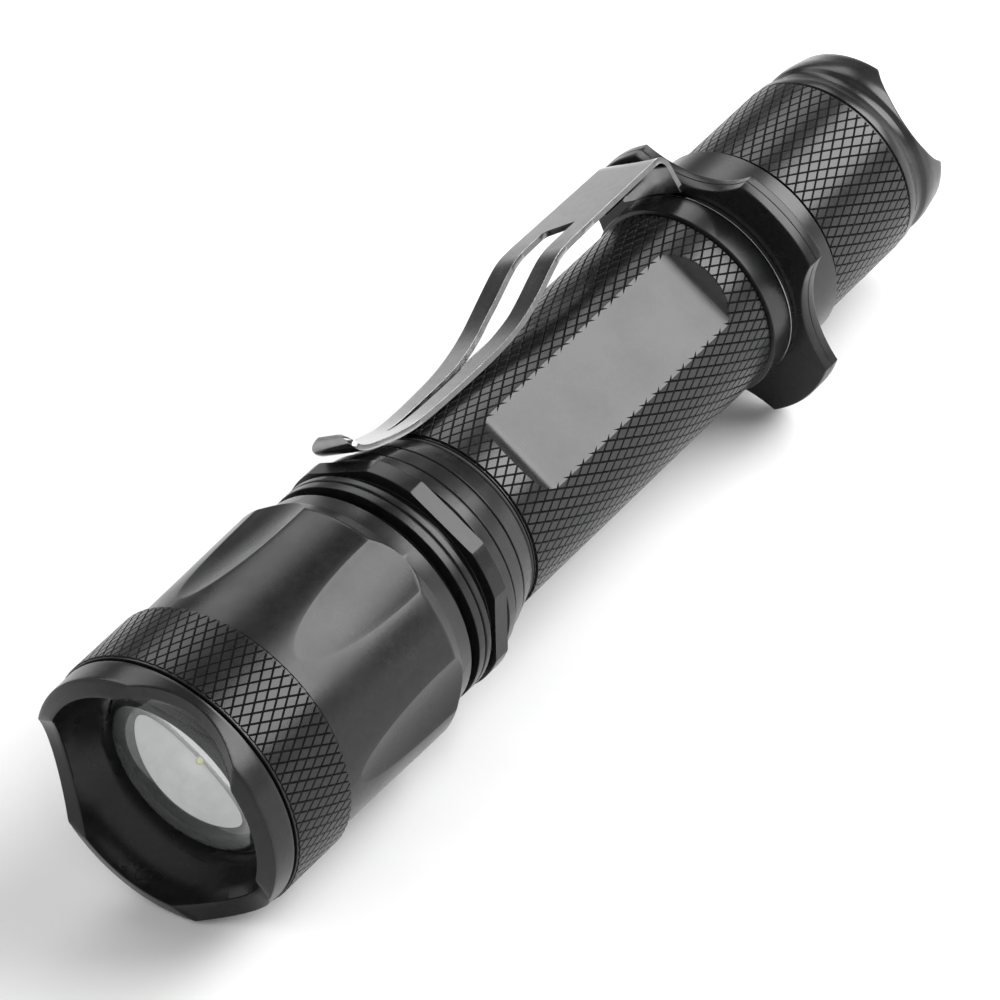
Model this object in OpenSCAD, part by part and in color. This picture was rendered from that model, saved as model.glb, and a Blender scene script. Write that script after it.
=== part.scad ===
// Zooming tactical flashlight, lying on its side with the beam along +X.
// Every turned piece is drawn about its own axis: its local z is the station, the distance behind
// the front plane of the head, and its local angle 0 is the top of the lying flashlight.

/* [Head] */
// Radius over the head's knurled band
head_r = 19.1; // [18.9:0.05:19.4]
// Length of the knurled band
band_len = 11; // [9:0.5:12]
// Radius of the smooth head at its front and at its rear
head_front_r = 18.25; // [18:0.05:18.5]
head_rear_r = 18.6; // [18.4:0.05:18.8]
// Length of the head sleeve
head_len = 39.1; // [38.5:0.1:39.5]
// Number of flutes and flange flats
lobes = 6; // [5:1:8]
// Angle of the first flute and flange flat
flute_angle = 39; // [30:1:48]
// Floor radius of a flute at its deep end
flute_floor_r = 17.45; // [17.3:0.05:17.8]
// How far the crown of the bezel stands in front of the head
crown_len = 5; // [4.5:0.1:5.2]
// Number of scallops in the crown, and the angle of the first
scallops = 3; // [3:1:4]
scallop_angle = 26.3; // [20:0.1:32]
// Radius and depth of a crown scallop
scallop_r = 15.3; // [14:0.1:17]
scallop_depth = 3.2; // [2.8:0.1:3.4]
// Travel of the head when it zooms
zoom_travel = 9.5; // [8:0.5:9.5]

/* [Body] */
// Radius over the tube's knurling
tube_r = 13.92; // [13.8:0.02:14]
// Bore radius of the tube
tube_bore_r = 11; // [10.9:0.05:11.1]
// Distance from the axis to a label flat, and the flat's angle
label_d = 12.35; // [12.3:0.05:12.6]
label_angle = 40.5; // [35:0.5:45]

/* [Tactical ring and clip] */
// Outer radius, scallop floor radius and thickness of the ring
ring_r = 20.4; // [20:0.1:20.6]
ring_floor_r = 16; // [15.7:0.1:16.4]
ring_t = 2.9; // [2.7:0.1:3]
// Angle of the clip around the tube
clip_angle = -25; // [-30:1:-20]
// Sheet thickness of the clip
clip_t = 0.8; // [0.7:0.05:0.9]
// Height of the clip's top over the axis
clip_top = 20.1; // [19.8:0.1:20.3]

/* [Tail] */
// Radius over the tail cap's knurling, and of its smooth collar
cap_r = 14.15; // [14:0.05:14.3]
collar_r = 14.8; // [14.6:0.05:14.9]
// Angle of the first thumb scallop
thumb_angle = 56; // [50:1:62]
// Station of the tail end
tail_end = 152.3; // [152:0.1:152.6]
// Number of whole turns that free the tail cap, and the pitch of its thread
cap_turns = 5; // [3:1:5]
thread_pitch = 1; // [0.8:0.1:1]
// Travel of the switch button
press_travel = 1.8; // [1.5:0.1:1.8]

/* [Cell] */
// Radius and length of the wrapped rechargeable cell
cell_r = 9.2; // [9:0.05:9.3]
cell_len = 65; // [64:0.5:65]

/* [Hidden] */
$fn = 96;
eps = 0.01;
run = 0.05;                  // radial running clearance between turning or sliding pieces
x_mid = (tail_end - crown_len) / 2;
knurl_end_w = 0.4;           // plain strip at each end of a knurled band

// Stations of the fixed body, from the stop ring back to the end of the tube
stop_front = 20;
stop_rear = 25.8;
barrel_r = 15;
stop_r = 15.5;
head_bore_r = stop_r + 2 * run;
lip_front = stop_rear + zoom_travel + 0.5;  // the sleeve's rear lip stops against the stop ring
fin_front = 40.7;
fin_rear = 43.2;
flange_front = 44.9;
flange_rear = 47.4;
flange_r = 17.3;
flange_flat_d = 16.4;
cone_end = 56.4;
neck_end = 57.1;
pill_r = 11.2;
spigot_r = 12.9;
spigot_front = 47;
knurl_front = 57.6;
knurl_rear = 109.9;
collar_front_r = 14.5;       // smooth collar behind the knurling, which the clip's washer bears on
seat_r = 13.3;
ring_front = 114.8;
ring_rear = ring_front + ring_t;
thread_r = 12.6;
thread_front = ring_rear + 1;
thread_rear = thread_front + cap_turns * thread_pitch + 2.5;
tube_end = 129.6;
label_front = 61.4;
label_rear = 105.7;
label_run_r = 5;             // radius of the label flat's run-out ends

// Stations of the light engine and the lens
lens_r = 14.9;
lens_edge_front = 4.9;
lens_edge_rear = 6.9;
lens_dome_r = 13.4;
lens_apex = -0.35;
spigot_len = 4.2;
bezel_bore_r = 16.4;
star_front = 9;
star_rear = 10.6;
star_r = 10;
post_r = 10.2;
driver_front = 43.8;
driver_t = 1.6;
cell_front = 52.4;
cell_rear = cell_front + cell_len;
sleeve_front = 55;
sleeve_rear = 115;

// Stations of the tail cap and its switch
cap_front = 118;
collar_rear = 124.4;
cap_knurl_rear = 142.6;
cap_bore_r = thread_r + 2 * run;
module_r = cap_bore_r - run;
module_front = 135;
board_rear = module_front + 3.4;
switch_rear = board_rear + 4.4;
wall_front = 143.9;
wall_rear = 145.6;
boot_r = 8;
boot_hole_r = 8.4;
recess_r = 10.8;
thumb_floor = 148;
boot_top = 148;

// Clip stations
washer_r = 14.5;
washer_front = ring_front - clip_t;
flex_at = 109.2;
clip_w = 6.1;                // half width of the strap where it is widest
clip_root_w = 5.55;          // half width of the strap at its root

// ---------- helpers ----------

// Lays a piece drawn about its local z down along the world X axis
module lay() translate([x_mid, 0, head_r]) rotate([0, -90, 0]) children();

// A turned solid from an outline of [radius, station] points
module turned(outline) rotate_extrude() polygon(outline);

// A plain ring between two stations
module ring(r_out, r_in, from, to) translate([0, 0, from]) difference() {
    cylinder(r = r_out, h = to - from);
    translate([0, 0, -1]) cylinder(r = r_in, h = to - from + 2);
}

module disc(r, from, to) translate([0, 0, from]) cylinder(r = r, h = to - from);

module torus(r_mid, r_wire, at) translate([0, 0, at]) rotate_extrude() translate([r_mid, 0]) circle(r = r_wire);

// ---------- head ----------

// Crown front: round scallops between the lands
module crown_scallops() for (i = [0 : scallops - 1]) rotate(scallop_angle + i * 360 / scallops)
    translate([10, 0, scallop_depth - crown_len - scallop_r]) rotate([0, 90, 0]) cylinder(r = scallop_r, h = 12);

module strike_bezel() color("#26272a") lay() difference() {
    turned([
        [13.5, 2.7], [13.5, spigot_len], [16.5, spigot_len], [16.5, -0.02], [18.3, -0.02], [18.3, -0.25],
        [18.7, -0.3], [18.85, -0.6], [18.75, 0.8 - crown_len], [bezel_bore_r + 0.1, -crown_len],
        [bezel_bore_r, -crown_len], [bezel_bore_r - 0.3, -2]
    ]);
    crown_scallops();
}

module flute_cutters() {
    cutter_r = 14;
    tip = 14;
    deep = 34;
    rise = head_front_r - flute_floor_r;
    tilt = atan(rise / (deep - tip));
    for (i = [0 : lobes - 1]) rotate(flute_angle + i * 360 / lobes)
        translate([head_front_r + cutter_r, 0, tip]) rotate([0, -tilt, 0])
            cylinder(r = cutter_r, h = 40);
}

module head_sleeve() color("#232427") lay() difference() {
    turned([
        [16.55, 0], [head_r - 0.1, 0], [head_r, knurl_end_w], [head_r, band_len - knurl_end_w],
        [head_front_r - 0.3, band_len], [head_front_r - 0.3, band_len + 0.4], [head_front_r, band_len + 0.5],
        [head_rear_r, 34.2], [17.6, 36.2], [16.9, head_len - 0.1], [16.7, head_len],
        [barrel_r + run, head_len], [barrel_r + run, lip_front], [head_bore_r, lip_front],
        [head_bore_r, lens_edge_rear + 1.2], [13.7, lens_edge_rear + 1.2], [13.7, lens_edge_rear + 0.05],
        [lens_r + run, lens_edge_rear + 0.05], [lens_r + run, spigot_len + 0.1], [16.55, spigot_len + 0.1]
    ]);
    flute_cutters();
}

module bezel_gasket() color("#111111") lay() ring(lens_r, 13.7, spigot_len, lens_edge_front);

// Glass lens: a full dome, drawn as an ellipsoid, on a thin flat-backed edge flange
module lens() color([0.85, 0.9, 0.92, 0.4]) lay() {
    dome_h = lens_edge_front - lens_apex;
    disc(lens_r, lens_edge_front, lens_edge_rear);
    translate([0, 0, lens_edge_front + eps]) intersection() {
        scale([1, 1, (dome_h + eps) / lens_dome_r]) sphere(r = lens_dome_r);
        translate([0, 0, -20]) cylinder(r = lens_dome_r + 1, h = 20);
    }
}

// ---------- fixed body ----------

module stop_ring() color("#2b2c2f") lay() turned([
    [13.65, stop_front], [stop_r - 0.3, stop_front], [stop_r, stop_front + 0.3], [stop_r, 22], [14.2, 22],
    [14.2, 24], [stop_r, 24], [stop_r, stop_rear], [13.65, stop_rear]
]);

module focus_oring() color("#101010") lay() torus(14.85, 0.65, 23);

module neck_outline() turned([
    [11.3, 19], [13.6, 19], [13.6, stop_rear], [barrel_r, stop_rear], [barrel_r, fin_front],
    [16.9, fin_front], [17, fin_front + 0.1], [17, 41.9], [16.7, 42], [16.7, 42.2], [17, 42.3],
    [17, fin_rear], [15.6, fin_rear], [15.6, flange_front], [flange_r, flange_front],
    [flange_r, flange_rear], [16.2, flange_rear + 0.1], [16.2, flange_rear + 0.3], [16.5, flange_rear + 0.4],
    [16.1, 49.7], [15.5, 49.8], [15.5, 50.2], [15.7, 50.3],
    [15, 52.9], [14.6, 53], [14.6, 53.2], [14.85, 53.3], [13.8, cone_end], [13.1, cone_end],
    [13.1, neck_end], [spigot_r + 0.05, neck_end], [spigot_r + 0.05, 46.2], [11.3, 46.2]
]);

module flange_flats() for (i = [0 : lobes - 1]) rotate(flute_angle + i * 360 / lobes)
    translate([flange_flat_d, -12, flange_front - 0.5]) cube([6, 24, flange_rear - flange_front + 0.55]);

module neck_housing() color("#252629") lay() difference() {
    neck_outline();
    flange_flats();
}

// Hollow post with a bright face plate, which carries the light source close behind the lens
module led_pill() color("#b9bcc0") lay() turned([
    [0, star_rear], [13, star_rear], [13, star_rear + 1], [post_r, star_rear + 1], [post_r, 19.4], [pill_r, 19.4],
    [pill_r, driver_front], [post_r - 1, driver_front], [post_r - 1, star_rear + 2.6], [0, star_rear + 2.6]
]);

module led_star() color("#e9ebe8") lay() disc(star_r, star_front, star_rear);

module led_package() color("#f2efe0") lay() translate([-1.73, -1.73, star_front - 0.7]) cube([3.46, 3.46, 0.7]);

module led_dome() color([0.95, 0.9, 0.45]) lay() difference() {
    translate([0, 0, star_front - 0.7]) sphere(r = 1.2);
    translate([0, 0, star_front - 0.7]) cylinder(r = 3, h = 3);
}

module centering_ring() color("#f4f4f2") lay() difference() {
    ring(4.2, 3, star_front - 0.9, star_front);
    for (a = [0, 90]) rotate(a) translate([-6, -0.4, star_front - 1.2]) cube([12, 0.8, 0.6]);
}

module driver_board() color("#2f7a45") lay() disc(pill_r, driver_front, driver_front + driver_t);

// A conical contact coil, drawn as a stepped thin-walled cone that bridges to the cell
module driver_spring() color("#c9a24a") lay() turned([
    [3.6, driver_front + driver_t], [4.4, driver_front + driver_t],
    [3, cell_front - 1.5], [0, cell_front - 1.5], [0, cell_front - 2.1], [2.4, cell_front - 2.1]
]);

module label_cutter() {
    depth = tube_r - label_d;
    run_len = sqrt(2 * label_run_r * depth - depth * depth);
    flat_front = label_front + run_len;
    flat_rear = label_rear - run_len;
    translate([label_d, -9, flat_front]) cube([4, 18, flat_rear - flat_front]);
    for (z = [flat_front, flat_rear]) translate([label_d + label_run_r, -9, z])
        rotate([-90, 0, 0]) cylinder(r = label_run_r, h = 18);
}

module body_tube() color("#242528") lay() difference() {
    turned([
        [tube_bore_r, spigot_front], [spigot_r, spigot_front], [spigot_r, knurl_front - 0.3],
        [tube_r - 0.3, knurl_front - 0.3], [tube_r, knurl_front], [tube_r, knurl_rear - 0.2],
        [tube_r - 0.2, knurl_rear], [tube_r - 0.4, knurl_rear + 0.1], [collar_front_r, knurl_rear + 0.3],
        [collar_front_r, washer_front - 0.1], [seat_r, washer_front - 0.1], [seat_r, ring_rear + 0.2],
        [11.9, ring_rear + 0.2], [11.9, thread_front], [thread_r, thread_front + 0.4],
        [thread_r, thread_rear], [11.7, thread_rear + 0.1], [11.7, thread_rear + 1.9], [thread_r, thread_rear + 2],
        [thread_r, tube_end - 0.4], [thread_r - 0.4, tube_end], [tube_bore_r, tube_end]
    ]);
    for (turn = [0, 180]) rotate(label_angle + turn) label_cutter();
}

module neck_oring() color("#101010") lay() torus(13.4, 0.28, 56.85);

module battery_sleeve() color("#e4e4e0") lay() ring(tube_bore_r - 0.1, cell_r + 0.1, sleeve_front, sleeve_rear);

module battery_cell() color("#3566a8") lay() turned([
    [0, cell_front], [cell_r - 0.5, cell_front], [cell_r, cell_front + 0.5],
    [cell_r, cell_rear - 0.4], [cell_r - 0.4, cell_rear], [0, cell_rear]
]);

module battery_cap() color("#c8cacc") lay() disc(3, cell_front - 1.5, cell_front);

module tactical_ring() color("#26272a") lay() difference() {
    ring(ring_r, seat_r + 0.05, ring_front, ring_rear);
    scallop_half = 25;
    edge_x = ring_r * cos(scallop_half);
    edge_y = ring_r * sin(scallop_half);
    reach = (edge_x * edge_x + edge_y * edge_y - ring_floor_r * ring_floor_r) / (2 * (edge_x - ring_floor_r));
    for (i = [0 : 3]) rotate(i * 90) translate([reach, 0, ring_front - 1])
        cylinder(r = reach - ring_floor_r, h = ring_t + 2);
}

// ---------- clip ----------

// Flat washer clamped under the ring, with a tab that rises and turns forward into the strap
module clip_base() color("#3a3b3d") lay() rotate(clip_angle) {
    ring(washer_r, seat_r + 0.1, washer_front, ring_front);
    tab_foot = 13.5;
    bend_r = 2;
    difference() {
        translate([tab_foot, -clip_root_w, washer_front]) cube([clip_top - tab_foot, 2 * clip_root_w, clip_t]);
        translate([clip_top - bend_r, -clip_root_w - 1, washer_front - 1]) cube([bend_r + 1, 2 * clip_root_w + 2, 4]);
    }
    translate([clip_top - bend_r, clip_root_w, ring_front - bend_r]) rotate([90, 0, 0]) intersection() {
        difference() {
            cylinder(r = bend_r, h = 2 * clip_root_w);
            translate([0, 0, -1]) cylinder(r = bend_r - clip_t, h = 2 * clip_root_w + 2);
        }
        translate([0, 0, -1]) cube([bend_r + 1, bend_r + 1, 2 * clip_root_w + 2]);
    }
    translate([clip_top - clip_t, -clip_root_w, flex_at + 0.1])
        cube([clip_t, 2 * clip_root_w, ring_front - bend_r - flex_at - 0.1]);
    translate([washer_r + 0.4, -clip_root_w, flex_at + 0.1])
        cube([clip_top - clip_t - washer_r - 0.4, clip_t, washer_front - flex_at - 0.1]);
}

// Underside of the strap, as [station, height over the axis]; its front end turns up into a lip
strap_line = [
    [47.37, 20.32], [47.05, 19.75], [46.95, 18.97], [47.2, 18.1], [47.92, 17.3], [49.22, 16.6], [51.07, 15.97],
    [53.1, 15.33], [55.2, 14.8], [57.4, 14.4], [60, 14.2], [64, 14.15], [70, 14.2], [75, 14.6], [79, 15.3],
    [83, 16.5], [88, 18.4], [90.5, 19.15], [93, 19.3], [flex_at, 19.3]
];

// Point i of the strap's upper face: one sheet thickness away, square to the line
function strap_top(i) = let (
    last = len(strap_line) - 1,
    along = strap_line[min(i + 1, last)] - strap_line[max(i - 1, 0)]
) strap_line[i] + clip_t / norm(along) * [-along[1], along[0]];

function strap_outline() = concat(
    [for (p = strap_line) [p[1], p[0]]],
    [for (i = [len(strap_line) - 1 : -1 : 0]) [strap_top(i)[1], strap_top(i)[0]]]
);

// Plan of the strap: station along x, half width along y
module strap_plan() polygon([
    [46, -4.05], [51, -4], [54, -3.8], [58, -3.7], [70, -4.3], [82, -clip_w], [90, -clip_w],
    [flex_at, -clip_root_w], [flex_at, clip_root_w], [90, clip_w], [82, clip_w],
    [70, 4.3], [58, 3.7], [54, 3.8], [51, 4], [46, 4.05]
]);

// Takes off the two corners of the upturned lip
module lip_corners() translate([0, 0, 46]) for (side = [-1, 1]) linear_extrude(3.4) polygon([
    [18.6, side * 4.3], [19.2, side * 3.85], [19.8, side * 3.1], [20.3, side * 1.9],
    [22, side * 1.9], [22, side * 4.3]
]);

// Plan of the long slot that leaves two rails; its rear end is cut at a slant
module slot_plan() polygon([
    [56, -0.3], [62, -0.6], [72, -0.9], [81, -2.4], [98.1, -2.4], [98.4, -2], [96.4, 2.4],
    [81, 2.4], [72, 0.9], [62, 0.6], [56, 0.3]
]);

module clip_strap() color("#3a3b3d") lay() rotate(clip_angle) difference() {
    intersection() {
        rotate([90, 0, 0]) translate([0, 0, -10]) linear_extrude(20) polygon(strap_outline());
        translate([10, 0, 0]) rotate([0, 90, 0]) rotate(180) linear_extrude(14) difference() {
            strap_plan();
            slot_plan();
        }
    }
    lip_corners();
}

// ---------- tail ----------

module tail_oring() color("#101010") lay() torus(12.15, 0.45, thread_rear + 1);

// Coil spring between the switch and the cell: a thin sleeve with one ring for each turn
module tail_spring() color("#c8cacc") lay() {
    coil_r = 4.6;
    wire_r = 0.45;
    turns = 8;
    from = cell_rear + 0.5;
    to = module_front - 0.5;
    ring(coil_r + 0.15, coil_r - 0.15, from, to);
    for (i = [0 : turns]) torus(coil_r, wire_r, from + i * (to - from) / turns);
}

module thumb_scallops() {
    cutter_r = 9.2;
    for (turn = [0, 180]) rotate(thumb_angle + turn) translate([0, 0, thumb_floor + cutter_r])
        rotate([0, 90, 0]) cylinder(r = cutter_r, h = 20);
}

module tailcap_shell() color("#232427") lay() difference() {
    turned([
        [cap_bore_r, cap_front], [collar_r - 0.2, cap_front], [collar_r, cap_front + 0.2],
        [collar_r, collar_rear], [cap_r - 0.4, collar_rear], [cap_r - 0.4, collar_rear + 0.6], [cap_r, 125.2],
        [cap_r, cap_knurl_rear], [cap_r - 0.4, cap_knurl_rear + 0.1], [cap_r - 0.4, 143.1], [cap_r - 0.1, 143.2],
        [cap_r - 0.2, 144.4], [13.25, 146], [13.25, 147], [13.7, 147.6], [13.7, 149], [13.05, tail_end],
        [recess_r, tail_end], [recess_r, wall_rear], [boot_hole_r, wall_rear], [boot_hole_r, wall_front],
        [cap_bore_r, wall_front]
    ]);
    thumb_scallops();
}

module switch_retainer() color("#b08d45") lay() difference() {
    ring(module_r, 6.4, module_front, module_front + 2);
    for (a = [0, 180]) rotate(a) translate([9.5, 0, module_front - 1]) cylinder(r = 1, h = 4);
}

module switch_board() color("#2f7a45") lay() disc(module_r, module_front + 2, board_rear);

module switch_body() color("#1b1b1d") lay() difference() {
    union() {
        translate([-4.3, -4.3, board_rear]) cube([8.6, 8.6, switch_rear - board_rear]);
        disc(3.2, switch_rear - eps, switch_rear + 0.5);
    }
    disc(2.2 + run, switch_rear - press_travel - 0.3, switch_rear + 1);
}

module boot_washer() color("#d8d8d4") lay() ring(module_r, 8.8, board_rear, 142.7);

// The rubber boot is one moulding: a skirt that is clamped in the cap, and a dome that gives way
module boot_skirt() color("#18181a") lay() turned([
    [module_r - 0.4, 142.7], [module_r - 0.4, wall_front], [boot_r + 0.3, wall_front],
    [boot_r + 0.2, 146], [boot_r - 0.2, 146.5], [boot_r - 0.8, 146.6], [boot_r - 0.8, 142.7]
]);

module rubber_boot() color("#18181a") lay() turned([
    [0, boot_top], [3, boot_top - 0.15], [5.2, boot_top - 0.6], [6.5, boot_top - 1.2], [7.05, boot_top - 1.9],
    [7.05, boot_top - 2.6], [0, boot_top - 2.6]
]);

module switch_plunger() color("#e8e8e4") lay() disc(2.2, switch_rear + 0.1, boot_top - 2.6);

strike_bezel();
head_sleeve();
bezel_gasket();
lens();
stop_ring();
focus_oring();
neck_housing();
led_pill();
led_star();
led_package();
led_dome();
centering_ring();
driver_board();
driver_spring();
body_tube();
neck_oring();
battery_sleeve();
battery_cell();
battery_cap();
tactical_ring();
clip_base();
clip_strap();
tail_oring();
tail_spring();
tailcap_shell();
switch_retainer();
switch_board();
switch_body();
boot_washer();
boot_skirt();
switch_plunger();
rubber_boot();
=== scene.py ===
"""Looks of the zooming tactical flashlight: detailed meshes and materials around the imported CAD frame."""

import bisect
import math

import bmesh
import bpy
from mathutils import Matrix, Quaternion, Vector


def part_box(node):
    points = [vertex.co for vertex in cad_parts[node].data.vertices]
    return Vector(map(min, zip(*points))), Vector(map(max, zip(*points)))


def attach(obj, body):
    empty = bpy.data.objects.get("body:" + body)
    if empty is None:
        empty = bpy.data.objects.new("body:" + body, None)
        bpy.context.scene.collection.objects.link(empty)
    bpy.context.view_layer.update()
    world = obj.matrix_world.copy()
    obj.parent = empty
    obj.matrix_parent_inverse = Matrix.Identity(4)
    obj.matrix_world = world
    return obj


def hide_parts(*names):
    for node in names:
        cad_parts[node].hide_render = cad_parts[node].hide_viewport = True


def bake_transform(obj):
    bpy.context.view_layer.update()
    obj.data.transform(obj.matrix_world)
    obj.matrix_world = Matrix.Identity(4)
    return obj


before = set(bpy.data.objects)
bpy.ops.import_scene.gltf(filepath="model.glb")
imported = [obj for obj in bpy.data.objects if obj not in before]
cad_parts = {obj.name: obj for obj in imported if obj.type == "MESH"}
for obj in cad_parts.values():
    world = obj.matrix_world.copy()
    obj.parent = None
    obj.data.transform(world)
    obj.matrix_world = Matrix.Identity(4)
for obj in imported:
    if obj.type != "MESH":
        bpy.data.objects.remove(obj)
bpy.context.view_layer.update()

# ---------- places, in millimetres ----------
# A station is the distance behind the front plane of the head; an angle is measured from the top.

MM = 0.001
HEAD_LOW, HEAD_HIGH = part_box("head_sleeve")
FRONT_X = HEAD_HIGH.x
AXIS_Z = (HEAD_LOW.z + HEAD_HIGH.z) / 2
LOBES = 6              # flutes round the head, and flats round the neck's flange
SECTOR = 360 / LOBES
SEGMENTS = 180


def at(radius, angle, station):
    """World point of a radius, an angle in degrees and a station."""
    turn = math.radians(angle)
    x = FRONT_X - station * MM
    return Vector((x, radius * math.sin(turn) * MM, AXIS_Z + radius * math.cos(turn) * MM))


def across(station, height, side, angle):
    """World point at a height over the axis and a sideways offset, in a plane through the axis."""
    turn = math.radians(angle)
    y = height * math.sin(turn) + side * math.cos(turn)
    z = height * math.cos(turn) - side * math.sin(turn)
    return Vector((FRONT_X - station * MM, y * MM, AXIS_Z + z * MM))


def from_nearest(angle, count):
    """Angle to the nearest of count evenly spaced places, the first of them at 0."""
    spacing = 360 / count
    past = angle % spacing
    return min(past, spacing - past)


# ---------- mesh helpers ----------

NEARLY_STRAIGHT = math.radians(165)    # a wider angle than this isn't a corner to round
ROUND_STEPS = 3                        # a corner's round has one point more than this
WELD = 1e-7                            # metres within which points are one


def lerp_table(table, x):
    """Straight-line value at x from a table of (x, value) pairs in rising x."""
    if x <= table[0][0]:
        return table[0][1]
    if x >= table[-1][0]:
        return table[-1][1]
    i = bisect.bisect_right([row[0] for row in table], x)
    (x0, v0), (x1, v1) = table[i - 1], table[i]
    return v0 + (v1 - v0) * (x - x0) / (x1 - x0)


def soft_min(a, b, blend):
    """The smaller of two values, rounded over where they cross."""
    h = max(blend - abs(a - b), 0) / blend
    return min(a, b) - blend * h * h / 4


def rounded(outline, radius):
    """A closed outline with each real corner turned into a small round."""
    out = []
    for i, corner in enumerate(outline):
        here = Vector(corner)
        before = Vector(outline[i - 1]) - here
        after = Vector(outline[(i + 1) % len(outline)]) - here
        if before.angle(after) > NEARLY_STRAIGHT:
            out.append(tuple(here))
            continue
        cut = min(radius, 0.45 * before.length, 0.45 * after.length)
        start, end = here + before.normalized() * cut, here + after.normalized() * cut
        for k in range(ROUND_STEPS + 1):
            t = k / ROUND_STEPS
            out.append(tuple(start * (1 - t) ** 2 + here * 2 * t * (1 - t) + end * t * t))
    return out


def loft(rings, closed=True):
    """Points and quads between rings of equal length; when open, both end rings are filled."""
    n, count = len(rings[0]), len(rings)
    points = [p for ring in rings for p in ring]
    faces = []
    for r in range(count if closed else count - 1):
        a, b = r * n, (r + 1) % count * n
        faces += [(a + c, a + (c + 1) % n, b + (c + 1) % n, b + c) for c in range(n)]
    if not closed:
        faces += [tuple(range(n)), tuple(range((count - 1) * n, count * n))]
    return points, faces


def turned(outline, segments=SEGMENTS):
    """A closed outline of (radius, station) points, revolved."""
    return loft([[at(r, 360 * c / segments, s) for c in range(segments)] for r, s in outline])


def mesh_from(bm, name):
    """A new mesh from a bmesh, which is then freed."""
    mesh = bpy.data.meshes.new(name)
    bm.to_mesh(mesh)
    bm.free()
    return mesh


def mesh_of(name, *parts):
    """One mesh from several closed shells of points and faces."""
    bm = bmesh.new()
    for points, faces in parts:
        verts = [bm.verts.new(p) for p in points]
        for face in faces:
            bm.faces.new([verts[i] for i in face])
    bmesh.ops.remove_doubles(bm, verts=bm.verts, dist=WELD)
    bmesh.ops.dissolve_degenerate(bm, edges=bm.edges, dist=WELD)
    bmesh.ops.recalc_face_normals(bm, faces=bm.faces)
    return mesh_from(bm, name)


def add_object(name, data):
    """A new object in the scene, from a mesh, a light or a camera."""
    obj = bpy.data.objects.new(name, data)
    bpy.context.scene.collection.objects.link(obj)
    return obj


def dress(obj, material):
    """Gives an object one material in place of any it had."""
    obj.data.materials.clear()
    obj.data.materials.append(material)


def shade(obj, angle):
    """Smooth shading that keeps real corners sharp and broad faces even."""
    obj.data.shade_smooth()
    obj.data.set_sharp_from_angle(angle=math.radians(angle))
    obj.modifiers.new("even_faces", "WEIGHTED_NORMAL").keep_sharp = True


def apply_modifiers(obj):
    """Makes the evaluated mesh the object's own."""
    bpy.context.view_layer.update()
    final = bpy.data.meshes.new_from_object(obj.evaluated_get(bpy.context.evaluated_depsgraph_get()))
    obj.modifiers.clear()
    obj.data = final


def cut_away(obj, *cutters):
    """Cuts closed cutter objects out of obj and removes them."""
    for cutter in cutters:
        boolean = obj.modifiers.new("cut", "BOOLEAN")
        boolean.operation = "DIFFERENCE"
        boolean.solver = "EXACT"
        boolean.object = cutter
        apply_modifiers(obj)
        bpy.data.objects.remove(cutter)


def piece(name, parts, material, body, replaces, angle=35):
    """A finished piece from shells of points and faces."""
    obj = add_object(name, mesh_of(name, *parts))
    return finish_piece(obj, material, body, replaces, angle)


def finish_piece(obj, material, body, replaces, angle):
    """Gives a piece its material, shading, replaced nodes and, where one is named, its body."""
    dress(obj, material)
    shade(obj, angle)
    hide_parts(*replaces)
    if body:
        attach(obj, body)
    return obj


# ---------- materials ----------


def node_tools(owner):
    """Clears the nodes of a material or a world and returns functions that add nodes and link them.

    A value goes to the input of that name, with underscores for spaces, or else to the node's own setting.
    """
    owner.use_nodes = True
    tree = owner.node_tree
    tree.nodes.clear()

    def add(kind, **values):
        node = tree.nodes.new("ShaderNode" + kind)
        for key, value in values.items():
            socket = key.replace("_", " ")
            if socket in node.inputs:
                node.inputs[socket].default_value = value
            else:
                setattr(node, key, value)
        return node

    return add, tree.links.new


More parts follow.
